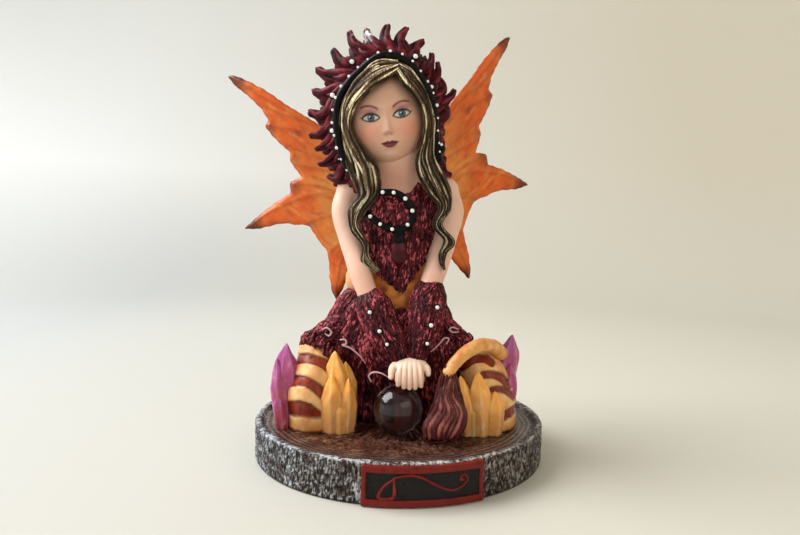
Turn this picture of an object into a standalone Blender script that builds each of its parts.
"""Seated fairy figurine on a round base, with a clear ball under its hand and two glued wings.

Lengths are written in millimetres and are turned into metres as each mesh is made.
+X is the viewer's right, -Y is the way the fairy faces and +Z is up.
The origin is the centre of the flat underside of the base.
The fairy's own forms are placed from the middle of the base's sunken floor, where it stands.
"""
import math

import bmesh
import bpy
import numpy as np
from mathutils import Matrix, Vector
from mathutils.geometry import delaunay_2d_cdt

MM = 0.001

# Base
BASE_RADIUS = 50.0
BASE_HEIGHT = 12.5
RIM_WIDTH = 3.0
RECESS_DEPTH = 1.2
EDGE_ROUND = 0.8
BASE_SIDES = 72

# Plaque on the base's wall
PLAQUE_MIDDLE_ANGLE = 7.8
PLAQUE_WIDTH = 36.0
PLAQUE_PROUD = 1.3
PLAQUE_FRAME = 2.0
PLAQUE_PANEL_DEPTH = 0.5
PLAQUE_FOOT_GAP = 0.4
PLAQUE_ARC_STEPS = 12

# Gap between pieces that rest on or in each other
SEAT_GAP = 0.3

# Clear ball
BALL_RADIUS = 8.0
BALL_X = -0.2
BALL_Y = -20.0

# Figure
FIGURE_HEIGHT = 136.4
DRAWN_FIGURE_HEIGHT = 136.4
VOXEL = 0.85
KEPT_FACES = 0.066

# Wings
WING_REACH = 59.6
DRAWN_WING_REACH = 57.6
WING_THICKNESS = 2.2
WING_BOW = 5.0
WING_SWEEP = 16.25
WING_PAIR_TURN = 7.5
WING_PAIR_ROLL = 9.7
WING_ROOT_SPREAD = 2.5
WING_ROOT_HEIGHT = 76.9
WING_ROOT_BACK = 15.5
WING_MESH_STEP = 5.0

# Fur cape over the shoulder blades, which holds the wings' roots
CAPE_RADII = (14.0, 8.8, 24.0)
CAPE_FORWARD = 6.0
WING_PAIR_X = -1.5

FLOOR = BASE_HEIGHT - RECESS_DEPTH
GROWTH = FIGURE_HEIGHT / DRAWN_FIGURE_HEIGHT

# The wing's outline in its own plane: outwards from the root, and up.
WING_OUTLINE = (
    (-1.0, 13.0), (8.0, 20.0), (18.1, 28.8), (26.5, 36.0), (33.0, 41.3), (40.0, 48.0), (47.0, 53.2),
    (51.5, 56.0), (54.6, 56.6), (52.5, 52.8), (47.0, 47.0), (42.8, 41.5), (40.8, 37.0), (42.6, 34.9),
    (38.6, 28.8), (34.0, 23.6), (35.0, 21.3), (33.0, 17.2), (31.0, 14.0), (36.0, 13.4), (36.6, 9.0),
    (42.0, 7.1), (48.0, 4.2), (53.5, 1.3), (57.6, -1.1), (52.0, -2.0), (45.0, -1.6), (41.0, -1.5),
    (36.0, -2.8), (31.0, -3.8), (29.5, -6.5), (27.5, -10.5), (25.2, -14.2), (25.2, -18.5), (26.0, -24.0),
    (25.8, -30.0), (24.6, -33.0), (21.5, -28.5), (16.0, -21.0), (9.0, -13.0), (-1.0, -8.0),
)

# Middle line of the hood's ribbed band, from the lower left shoulder over the top to the lower right.
BAND_LINE = (
    (-16.3, -5.0, 83.9), (-20.4, -6.0, 91.6), (-22.2, -7.0, 100.1), (-22.2, -7.0, 108.1),
    (-19.5, -7.0, 114.0), (-14.6, -7.0, 119.4), (-9.0, -7.0, 123.8), (-4.5, -7.0, 124.5),
    (-0.6, -7.0, 123.3), (2.8, -7.0, 120.7), (5.5, -7.0, 117.1), (8.1, -7.0, 112.9),
    (9.4, -7.0, 108.9), (10.2, -7.0, 104.6), (10.3, -6.0, 100.5), (11.9, -5.0, 90.5),
)

# Tips of the mane's front petals, across and up, in the same order as the band.
PETAL_TIPS = (
    (-18.1, 79.2), (-26.0, 84.0), (-29.2, 88.6), (-30.4, 93.8), (-32.5, 98.4), (-32.6, 106.0),
    (-31.6, 113.7), (-30.6, 121.4), (-25.0, 127.4), (-19.5, 134.0), (-13.9, 135.4), (-6.5, 136.3),
    (0.1, 136.0), (5.8, 132.3), (9.4, 127.2), (11.6, 124.5), (12.8, 119.0), (17.5, 114.9),
    (15.1, 109.3), (13.9, 100.2), (14.1, 90.4), (16.7, 85.5),
)
PETAL_TIP_Y = 1.0
PETAL_RADII = (2.6, 2.7, 0.8)
PETAL_ROOT_BACK = 3.0
PETAL_BELLY = 1.2
BAND_RADIUS = 2.0
# Rows of petals: share of the full reach, and how far behind the front row.
PETAL_ROWS = ((1.0, 0.0), (0.82, 6.5))

# Upright sections of the skirt: height, middle across, middle in depth, half width, half depth.
SKIRT_SECTIONS = (
    (0.0, 0.0, 4.5, 26.0, 16.5), (10.0, -2.0, 4.5, 26.0, 16.0), (20.0, -3.5, 3.0, 28.0, 16.5),
    (28.0, -4.5, 1.5, 30.5, 17.0), (34.0, -3.5, 1.0, 26.5, 15.5), (40.0, -2.0, 0.5, 21.0, 13.0),
    (46.5, -1.0, 1.0, 16.5, 10.5),
)
TORSO_SECTIONS = (
    (42.0, -1.0, 1.5, 15.0, 10.0), (50.0, -1.0, 1.5, 12.5, 8.8), (57.0, -1.0, 1.2, 11.6, 8.4),
    (65.0, -1.2, 1.0, 12.8, 9.0), (73.0, -1.5, 1.5, 14.0, 9.0), (79.0, -1.8, 2.5, 15.5, 7.6),
    (83.5, -2.0, 3.0, 11.5, 6.4), (88.0, -2.5, 3.0, 7.2, 5.8), (96.0, -3.0, 2.0, 6.6, 5.8),
)
LEFT_LEG_SECTIONS = (
    (0.0, -29.8, -8.0, 8.6, 13.0), (12.0, -30.0, -9.0, 8.6, 13.0), (21.0, -28.4, -7.0, 7.8, 11.5),
    (28.5, -27.0, -4.0, 5.0, 8.0),
)
RIGHT_LEG_SECTIONS = (
    (0.0, 32.0, -5.0, 8.6, 12.5), (10.0, 31.6, -5.5, 8.8, 12.0), (19.0, 28.8, -5.0, 8.2, 10.8),
    (26.5, 25.8, -3.0, 5.4, 8.0),
)

# Rounded forms of the chest and shoulders: middle and half sizes.
CHEST_FORMS = (
    ((-7.3, -5.0, 70.5), (5.4, 4.8, 5.8)), ((3.8, -5.0, 71.0), (5.4, 4.8, 5.8)),
    ((-18.6, 2.5, 80.0), (5.4, 5.4, 5.0)), ((15.2, 2.5, 80.8), (5.4, 5.4, 5.0)),
)

# Rounded forms of the head, the hair round it, the hair at the neck and the hood: middle, half sizes and lean.
HEAD_FORMS = (
    ((-5.6, 0.0, 102.3), (11.2, 11.6, 14.6), 6.0), ((-5.8, 2.0, 104.5), (14.6, 10.8, 18.0), 3.0),
    ((-5.0, 2.0, 92.0), (14.0, 8.5, 9.0), 0.0), ((-7.0, 3.5, 103.5), (19.5, 10.8, 24.5), 0.0),
)

# Arms: points from the shoulder to the wrist, and the arm's radius at each.
LEFT_ARM = (
    (-18.5, 3.0, 80.0), (-20.3, 0.5, 73.0), (-18.3, -2.0, 64.4), (-15.9, -5.0, 57.6),
    (-13.6, -8.5, 51.0), (-10.2, -12.0, 43.3), (-4.0, -16.5, 33.6),
)
LEFT_ARM_RADII = (4.6, 4.6, 4.0, 4.0, 4.2, 4.8, 3.9)
RIGHT_ARM = (
    (15.0, 3.0, 80.5), (17.4, 0.5, 73.0), (16.1, -2.0, 65.0), (14.3, -6.0, 55.8),
    (10.2, -11.0, 46.6), (7.9, -15.0, 37.0),
)
RIGHT_ARM_RADII = (4.6, 4.6, 4.1, 4.1, 5.0, 4.2)
WRIST_RADIUS = 3.0
WRIST_FROM_HAND = (2.0, 2.5)
LEFT_WRIST_ASIDE = -1.5
RIGHT_WRIST_ASIDE = 1.8
HAND_LIFT = 6.2
HAND_ASIDE = 2.7
HAND_HALF = (6.4, 4.6, 3.4)
FINGERS = 5
FINGER_SPACING = 2.3
FINGER_RADIUS = 1.35

# Locks of hair that hang over the chest.
LEFT_LOCK = (
    (-18.0, -4.0, 98.0), (-16.5, -6.5, 90.0), (-12.5, -8.0, 82.0), (-11.5, -9.0, 76.0),
    (-15.2, -9.0, 71.0), (-14.8, -8.0, 64.0), (-12.0, -8.0, 56.5), (-8.5, -8.0, 51.5),
)
RIGHT_LOCK = (
    (8.0, -5.0, 98.0), (9.0, -7.0, 90.0), (10.8, -8.0, 84.0), (14.2, -8.0, 77.0),
    (12.9, -8.0, 69.0), (16.0, -8.0, 63.0), (13.4, -7.0, 56.0),
)
LOCK_RADIUS = 2.6

TAIL = (
    (6.0, 18.0, 6.0), (22.0, 17.0, 9.0), (34.0, 8.0, 16.0), (36.0, -2.0, 22.5), (34.4, -8.0, 25.4),
    (30.7, -14.0, 28.6), (26.1, -19.0, 29.6), (21.9, -22.0, 28.2), (18.3, -24.0, 25.4), (15.1, -25.0, 21.5),
)
TAIL_RADIUS = 2.3
TUFT = (
    (15.4, -24.5, 22.0), (14.2, -25.0, 16.0), (13.8, -25.0, 10.0), (13.2, -25.5, 4.0), (12.0, -26.0, 0.0),
)
TUFT_RADII = (1.8, 3.4, 4.6, 5.0, 3.6)

NECKLACE = (
    (-7.6, -7.0, 78.9), (-2.2, -8.0, 79.0), (3.0, -8.2, 75.0), (3.5, -8.8, 70.5), (0.0, -9.2, 67.4),
    (-5.0, -9.0, 67.5), (-10.5, -7.6, 70.8),
)
NECKLACE_RADIUS = 1.1

# Crystals: foot, tip and radius.
CRYSTALS = (
    ((-19.4, -16.0, 0.0), (-20.8, -16.0, 26.7), 3.6),
    ((-22.4, -18.5, 0.0), (-21.6, -19.5, 19.7), 3.0),
    ((-16.2, -17.5, 0.0), (-15.9, -18.5, 18.3), 3.2),
    ((-16.6, -12.5, 0.0), (-17.4, -14.0, 22.8), 3.2),
    ((22.8, -19.0, 0.0), (19.5, -21.5, 20.4), 2.8),
    ((27.5, -19.0, 0.0), (26.4, -20.0, 21.3), 3.2),
    ((31.9, -17.5, 0.0), (31.2, -19.0, 15.2), 2.6),
    ((-37.2, -13.0, 0.0), (-37.9, -14.0, 28.0), 2.9),
    ((-39.6, -14.0, 0.0), (-40.4, -15.0, 23.8), 2.5),
    ((-41.2, -13.0, 0.0), (-41.7, -14.0, 14.6), 1.9),
    ((37.0, -3.0, 4.0), (39.4, -4.0, 30.7), 2.9),
    ((38.6, -7.0, 2.0), (38.3, -8.0, 22.0), 2.4),
)
CRYSTAL_SIDES = 6
CRYSTAL_SHOULDER = 0.66


def smooth_line(points, steps):
    """Points on a smooth curve through the given ones, steps to each stretch."""
    line = [Vector(point) for point in points]
    ends = [2 * line[0] - line[1]] + line + [2 * line[-1] - line[-2]]
    curve = []
    for first, second, third, fourth in zip(ends, ends[1:], ends[2:], ends[3:]):
        for step in range(steps):
            t = step / steps
            curve.append(0.5 * ((2 * second) + (third - first) * t
                                + (2 * first - 5 * second + 4 * third - fourth) * t ** 2
                                + (3 * second - first - 3 * third + fourth) * t ** 3))
    curve.append(line[-1])
    return curve


def spread_values(values, count):
    """Values spread evenly over count places, read by straight interpolation."""
    return np.interp(np.linspace(0.0, len(values) - 1.0, count), np.arange(len(values)), values)


def bridge_rings(bm, rings):
    """Faces between neighbouring rings, with flat caps on the first and the last."""
    for lower, upper in zip(rings, rings[1:]):
        count = len(lower)
        for index in range(count):
            after = (index + 1) % count
            bm.faces.new((lower[index], lower[after], upper[after], upper[index]))
    bm.faces.new(list(reversed(rings[0])))
    bm.faces.new(rings[-1])


def add_sections(bm, sections, sides=28):
    """A closed form lofted upwards through level ellipses."""
    rings = []
    for level, x, y, half_width, half_depth in smooth_line(sections, 4):
        ring = []
        for index in range(sides):
            angle = 2.0 * math.pi * index / sides
            place = (x + half_width * math.cos(angle), y + half_depth * math.sin(angle), level)
            ring.append(bm.verts.new(place))
        rings.append(ring)
    bridge_rings(bm, rings)


def add_tube(bm, points, radii, steps=4, sides=12, flat=1.0):
    """A closed tube with round ends along a smooth line; flat narrows it in depth."""
    line = smooth_line(points, steps)
    widths = spread_values(radii, len(line))
    start = (line[0] - line[1]).normalized() * widths[0]
    finish = (line[-1] - line[-2]).normalized() * widths[-1]
    line = [line[0] + start, line[0] + start * 0.6] + line + [line[-1] + finish * 0.6, line[-1] + finish]
    widths = [widths[0] * 0.3, widths[0] * 0.8, *widths, widths[-1] * 0.8, widths[-1] * 0.3]
    rings = []
    for index, place in enumerate(line):
        ahead = line[min(index + 1, len(line) - 1)] - line[max(index - 1, 0)]
        ahead.normalize()
        across = ahead.cross(Vector((0.0, 1.0, 0.0)))
        if across.length < 0.05:
            across = ahead.cross(Vector((1.0, 0.0, 0.0)))
        across.normalize()
        deep = across.cross(ahead)
        ring = []
        for side in range(sides):
            angle = 2.0 * math.pi * side / sides
            offset = across * math.cos(angle) + deep * (math.sin(angle) * flat)
            ring.append(bm.verts.new(place + offset * widths[index]))
        rings.append(ring)
    bridge_rings(bm, rings)


def add_blob(bm, centre, radii, lean=0.0):
    """An ellipsoid; lean turns it about the depth axis, in degrees."""
    turn = Matrix.Rotation(math.radians(lean), 4, "Y")
    matrix = Matrix.Translation(centre) @ turn @ Matrix.Diagonal((*radii, 1.0))
    bmesh.ops.create_icosphere(bm, subdivisions=4, radius=1.0, matrix=matrix)


def add_crystal(bm, foot, tip, radius):
    """A six-sided crystal that keeps its width to the shoulder and then comes to a point."""
    foot, tip = Vector(foot), Vector(tip)
    rings = []
    for share, width in ((0.0, 1.0), (CRYSTAL_SHOULDER, 1.0), (1.0, 0.12)):
        centre = foot.lerp(tip, share)
        ring = []
        for side in range(CRYSTAL_SIDES):
            angle = 2.0 * math.pi * side / CRYSTAL_SIDES
            place = centre + Vector((math.cos(angle), math.sin(angle), 0.0)) * (radius * width)
            ring.append(bm.verts.new(place))
        rings.append(ring)
    bridge_rings(bm, rings)


def add_legs_and_skirt(bm):
    """The flared skirt, both folded legs, the tail with its tuft, and the crystals."""
    add_sections(bm, SKIRT_SECTIONS, sides=36)
    add_sections(bm, LEFT_LEG_SECTIONS)
    add_sections(bm, RIGHT_LEG_SECTIONS)
    add_tube(bm, TAIL, (TAIL_RADIUS + 0.5, TAIL_RADIUS + 0.3, TAIL_RADIUS, TAIL_RADIUS))
    add_tube(bm, TUFT, TUFT_RADII)
    for foot, tip, radius in CRYSTALS:
        add_crystal(bm, foot, tip, radius)


def add_torso(bm):
    """Waist, chest and neck, the fur over the shoulder blades, and the necklace."""
    add_sections(bm, TORSO_SECTIONS)
    for centre, radii in CHEST_FORMS:
        add_blob(bm, centre, radii)
    add_blob(bm, (WING_PAIR_X, WING_ROOT_BACK - CAPE_FORWARD, WING_ROOT_HEIGHT), CAPE_RADII)
    add_tube(bm, NECKLACE, (NECKLACE_RADIUS, NECKLACE_RADIUS))


def hand_place():
    """Middle of the back of the hand, which lies on top of the ball."""
    ball_top = 2.0 * BALL_RADIUS + SEAT_GAP
    return Vector((BALL_X + HAND_ASIDE, BALL_Y, ball_top / GROWTH + HAND_LIFT))


def add_arms(bm):
    """Both arms with their flared gauntlets, and the hands laid on the ball."""
    hand = hand_place()
    left_wrist = hand + Vector((LEFT_WRIST_ASIDE, *WRIST_FROM_HAND))
    right_wrist = hand + Vector((RIGHT_WRIST_ASIDE, *WRIST_FROM_HAND))
    add_tube(bm, (*LEFT_ARM, left_wrist), (*LEFT_ARM_RADII, WRIST_RADIUS))
    add_tube(bm, (*RIGHT_ARM, right_wrist), (*RIGHT_ARM_RADII, WRIST_RADIUS))
    add_blob(bm, hand + Vector((0.0, -0.5, 0.0)), HAND_HALF)
    middle = (FINGERS - 1) / 2.0
    for finger in range(FINGERS):
        aside = (finger - middle) * FINGER_SPACING
        drop = 0.25 * abs(finger - middle) ** 1.5
        knuckle = hand + Vector((aside * 0.9, -2.5, 1.0 - drop))
        bend = hand + Vector((aside, -5.6, -1.6 - drop))
        tip = hand + Vector((aside * 1.04, -7.0, -5.6 - drop * 0.3))
        add_tube(bm, (knuckle, bend, tip), (FINGER_RADIUS * 1.1, FINGER_RADIUS, FINGER_RADIUS * 0.9))


def add_head(bm):
    """Head, hair and the hood's rounded back, with the two long locks over the chest."""
    for centre, radii, lean in HEAD_FORMS:
        add_blob(bm, centre, radii, lean)
    add_tube(bm, LEFT_LOCK, (LOCK_RADIUS * 1.2, LOCK_RADIUS, LOCK_RADIUS, 0.6 * LOCK_RADIUS))
    add_tube(bm, RIGHT_LOCK, (LOCK_RADIUS * 1.2, LOCK_RADIUS, LOCK_RADIUS, 0.6 * LOCK_RADIUS))


def add_mane(bm):
    """The hood's front band, and two rows of pointed petals around it."""
    add_tube(bm, BAND_LINE, (BAND_RADIUS, BAND_RADIUS), steps=2, sides=8)
    band = smooth_line(BAND_LINE, 4)
    for row, (reach, back) in enumerate(PETAL_ROWS):
        for index, (x, z) in enumerate(PETAL_TIPS):
            share = (index + 0.5 * row) / (len(PETAL_TIPS) - 1)
            root = band[min(int(share * (len(band) - 1)), len(band) - 1)].copy()
            root.y += PETAL_ROOT_BACK + back
            tip = Vector((x, PETAL_TIP_Y + back, z))
            tip = root.lerp(tip, reach)
            belly = root.lerp(tip, 0.5) - Vector((0.0, PETAL_BELLY, 0.0))
            add_tube(bm, (root, belly, tip), PETAL_RADII, steps=3, sides=8, flat=0.8)


def mesh_object(name, bm, colour, roughness, alpha=1.0):
    """An object from a mesh drawn in millimetres, with its own material."""
    bmesh.ops.recalc_face_normals(bm, faces=bm.faces)
    mesh = bpy.data.meshes.new(name)
    bm.to_mesh(mesh)
    bm.free()
    mesh.transform(Matrix.Scale(MM, 4))
    mesh.shade_smooth()
    mesh.set_sharp_from_angle(angle=math.radians(35.0))
    thing = bpy.data.objects.new(name, mesh)
    bpy.context.scene.collection.objects.link(thing)
    material = bpy.data.materials.new(name)
    material.use_nodes = True
    shader = material.node_tree.nodes["Principled BSDF"]
    shader.inputs["Base Color"].default_value = (*colour, 1.0)
    shader.inputs["Roughness"].default_value = roughness
    shader.inputs["Alpha"].default_value = alpha
    mesh.materials.append(material)
    return thing


def hide_cutter(thing):
    """Mark a shape that only cuts or joins others."""
    thing.hide_render = True
    thing.display_type = "WIRE"
    return thing


def add_boolean(thing, other, operation):
    """An exact Boolean of one object with another."""
    modifier = thing.modifiers.new(f"{operation.lower()} {other.name}", "BOOLEAN")
    modifier.operation = operation
    modifier.object = other
    modifier.solver = "EXACT"


def lathe(profile, sides):
    """A closed turned mesh; the profile runs from the axis at the top to the axis underneath."""
    bm = bmesh.new()
    top = bm.verts.new((0.0, 0.0, profile[0][1]))
    bottom = bm.verts.new((0.0, 0.0, profile[-1][1]))
    rings = []
    for radius, height in profile[1:-1]:
        ring = []
        for side in range(sides):
            angle = 2.0 * math.pi * side / sides
            ring.append(bm.verts.new((radius * math.cos(angle), radius * math.sin(angle), height)))
        rings.append(ring)
    for upper, lower in zip(rings, rings[1:]):
        for side in range(sides):
            after = (side + 1) % sides
            bm.faces.new((lower[side], lower[after], upper[after], upper[side]))
    for side in range(sides):
        after = (side + 1) % sides
        bm.faces.new((top, rings[0][side], rings[0][after]))
        bm.faces.new((bottom, rings[-1][after], rings[-1][side]))
    return bm


def arc_slab(inner, outer, low, high, width):
    """A closed slab that follows the base's wall at the plaque, of the given arc width."""
    half = width / BASE_RADIUS / 2.0
    middle = math.radians(PLAQUE_MIDDLE_ANGLE - 90.0)
    bm = bmesh.new()
    rings = []
    for step in range(PLAQUE_ARC_STEPS + 1):
        angle = middle - half + 2.0 * half * step / PLAQUE_ARC_STEPS
        out = Vector((math.cos(angle), math.sin(angle), 0.0))
        corners = ((inner, low), (outer, low), (outer, high), (inner, high))
        rings.append([bm.verts.new(out * radius + Vector((0.0, 0.0, height))) for radius, height in corners])
    bridge_rings(bm, rings)
    return bm


def make_base():
    """The cast disc with its raised rim and sunken top, and the framed plaque on its wall."""
    inner = BASE_RADIUS - RIM_WIDTH
    profile = (
        (0.0, FLOOR),
        (inner - EDGE_ROUND, FLOOR),
        (inner, BASE_HEIGHT - 0.2 * EDGE_ROUND),
        (inner + EDGE_ROUND, BASE_HEIGHT),
        (BASE_RADIUS - EDGE_ROUND, BASE_HEIGHT),
        (BASE_RADIUS, BASE_HEIGHT - EDGE_ROUND),
        (BASE_RADIUS, EDGE_ROUND),
        (BASE_RADIUS - EDGE_ROUND, 0.0),
        (0.0, 0.0),
    )
    base = mesh_object("base", lathe(profile, BASE_SIDES), (0.05, 0.035, 0.035), 0.45)
    face = BASE_RADIUS + PLAQUE_PROUD
    low, high = PLAQUE_FOOT_GAP, BASE_HEIGHT - 0.5 * EDGE_ROUND
    plate = arc_slab(inner + EDGE_ROUND, face, low, high, PLAQUE_WIDTH)
    panel = arc_slab(face - PLAQUE_PANEL_DEPTH, face + 2.0, low + PLAQUE_FRAME, high - PLAQUE_FRAME,
                     PLAQUE_WIDTH - 2.0 * PLAQUE_FRAME)
    plate = hide_cutter(mesh_object("plaque_plate", plate, (0.25, 0.03, 0.02), 0.35))
    panel = hide_cutter(mesh_object("plaque_panel", panel, (0.02, 0.02, 0.02), 0.4))
    add_boolean(base, plate, "UNION")
    add_boolean(base, panel, "DIFFERENCE")


def ball_mesh(radius):
    """A sphere standing on the base's floor at the ball's place, grown outwards to the given radius."""
    bm = bmesh.new()
    bmesh.ops.create_uvsphere(bm, u_segments=24, v_segments=16, radius=radius)
    centre = Vector((BALL_X, BALL_Y, 0.0))
    centre.z = FLOOR + SEAT_GAP + BALL_RADIUS
    bmesh.ops.translate(bm, verts=bm.verts, vec=centre)
    return bm


def grown_outline(outline, grow):
    """The outline moved outwards by grow, each point along the mean of its two edges' normals."""
    points = [Vector(point) for point in outline]
    result = []
    for index, point in enumerate(points):
        before = (point - points[index - 1]).normalized()
        after = (points[(index + 1) % len(points)] - point).normalized()
        normal = Vector((-(before.y + after.y), before.x + after.x)).normalized()
        result.append(point + normal * grow)
    return result


def wing_sheet(side, grow):
    """A bowed plate of the wing's outline; grow makes it larger all round, for the slot it fits."""
    scale = WING_REACH / DRAWN_WING_REACH
    outline = grown_outline([(u * scale, w * scale) for u, w in WING_OUTLINE], grow)
    count = len(outline)
    inside = []
    for u in np.arange(-0.5, WING_REACH, WING_MESH_STEP):
        for w in np.arange(-35.0 * scale, 60.0 * scale, WING_MESH_STEP):
            inside.append(Vector((u, w)))
    edges = [(index, (index + 1) % count) for index in range(count)]
    result = delaunay_2d_cdt(outline + inside, edges, [list(range(count))], 1, 0.001)
    places, triangles = result[0], result[2]
    half = WING_THICKNESS / 2.0 + grow
    bm = bmesh.new()
    front, back = {}, {}
    for index in sorted({corner for triangle in triangles for corner in triangle}):
        u, w = places[index]
        bow = WING_BOW * (max(u, 0.0) / WING_REACH) ** 2
        front[index] = bm.verts.new((side * u, bow - half, w))
        back[index] = bm.verts.new((side * u, bow + half, w))
    border = set()
    for triangle in triangles:
        bm.faces.new([front[index] for index in triangle])
        bm.faces.new([back[index] for index in reversed(triangle)])
        for first, second in zip(triangle, (*triangle[1:], triangle[0])):
            if (second, first) in border:
                border.remove((second, first))
            else:
                border.add((first, second))
    for first, second in sorted(border):
        bm.faces.new((front[second], front[first], back[first], back[second]))
    return bm


def place_wing(thing, mount, side):
    """Hang a wing, or the shape of its slot, on the mount behind the shoulders."""
    thing.parent = mount
    thing.location = (side * WING_ROOT_SPREAD * MM, 0.0, 0.0)
    thing.rotation_euler = (0.0, math.radians(-WING_PAIR_ROLL), math.radians(side * WING_SWEEP))


def make_wings():
    """Two mirrored resin wings, and the shapes that cut their slots in the back."""
    mount = bpy.data.objects.new("wing_mount", None)
    bpy.context.scene.collection.objects.link(mount)
    mount.location = Vector((WING_PAIR_X, WING_ROOT_BACK, WING_ROOT_HEIGHT * GROWTH)) * MM
    mount.location.z += FLOOR * MM
    mount.rotation_euler = (0.0, 0.0, math.radians(WING_PAIR_TURN))
    slots = []
    for name, side in (("left", -1.0), ("right", 1.0)):
        wing = mesh_object(f"wing_{name}", wing_sheet(side, 0.0), (0.75, 0.2, 0.02), 0.3, alpha=0.9)
        slot = mesh_object(f"slot_{name}", wing_sheet(side, SEAT_GAP), (0.5, 0.5, 0.5), 0.5)
        place_wing(wing, mount, side)
        place_wing(slot, mount, side)
        slots.append(hide_cutter(slot))
    return slots


def seat_mesh():
    """What the figure must stay clear of below: the base's floor and rim, with the seat gap."""
    inner = BASE_RADIUS - RIM_WIDTH - SEAT_GAP
    outer = BASE_RADIUS + 20.0
    profile = (
        (0.0, FLOOR + SEAT_GAP), (inner, FLOOR + SEAT_GAP), (inner, BASE_HEIGHT + SEAT_GAP),
        (outer, BASE_HEIGHT + SEAT_GAP), (outer, -20.0), (0.0, -20.0),
    )
    return lathe(profile, BASE_SIDES)


def make_figure(slots):
    """The cast fairy: its forms are fused to one skin, which is then cut for what it meets."""
    bm = bmesh.new()
    add_legs_and_skirt(bm)
    add_torso(bm)
    add_arms(bm)
    add_head(bm)
    add_mane(bm)
    bmesh.ops.scale(bm, vec=(1.0, 1.0, GROWTH), verts=bm.verts)
    figure = mesh_object("figure", bm, (0.25, 0.03, 0.05), 0.45)
    figure.location.z = FLOOR * MM
    fuse = figure.modifiers.new("fuse forms", "REMESH")
    fuse.mode = "VOXEL"
    fuse.voxel_size = VOXEL * MM
    fuse.use_smooth_shade = True
    thin = figure.modifiers.new("fewer faces", "DECIMATE")
    thin.ratio = KEPT_FACES
    seat = hide_cutter(mesh_object("seat_clearance", seat_mesh(), (0.5, 0.5, 0.5), 0.5))
    ball = hide_cutter(mesh_object("ball_clearance", ball_mesh(BALL_RADIUS + SEAT_GAP), (0.5, 0.5, 0.5), 0.5))
    for cutter in (seat, ball, *slots):
        add_boolean(figure, cutter, "DIFFERENCE")


def main():
    """Clear the scene and build every piece."""
    for thing in list(bpy.data.objects):
        bpy.data.objects.remove(thing, do_unlink=True)
    make_base()
    mesh_object("crystal_ball", ball_mesh(BALL_RADIUS), (0.9, 0.9, 0.9), 0.02, alpha=0.3)
    slots = make_wings()
    make_figure(slots)


main()
